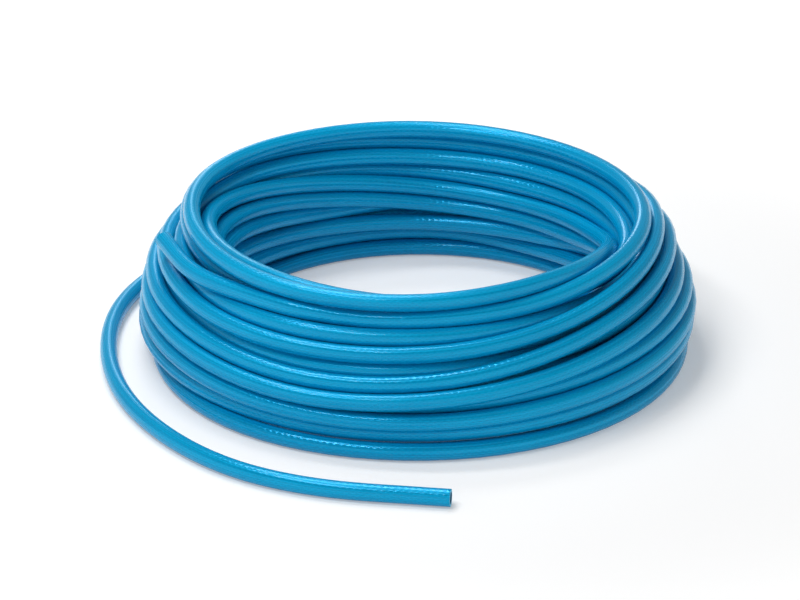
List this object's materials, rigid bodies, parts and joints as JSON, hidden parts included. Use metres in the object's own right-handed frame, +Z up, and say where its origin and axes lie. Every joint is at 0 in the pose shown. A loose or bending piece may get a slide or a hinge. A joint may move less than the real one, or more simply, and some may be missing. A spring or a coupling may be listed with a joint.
{
  "type": "coil of pvc tubing",
  "caption": "Loosely wound flat coil of flexible PVC tubing, with both cut ends free to take a fitting.",
  "frame": {"origin": "on the floor, at the centre of the coil", "axes": "+Z up along the coil's own axis, +X to the right, +Y to the back; the free end that lies on the floor comes round the left to the front"},
  "size_m": [0.6597, 0.7498, 0.1688],
  "materials": {
    "tubing": "satin flexible PVC over a fine textile braid"
  },
  "bodies": {
    "root": {"coil": "tubing", "floor_end": "tubing", "top_end": "tubing"}
  },
  "joints": []
}
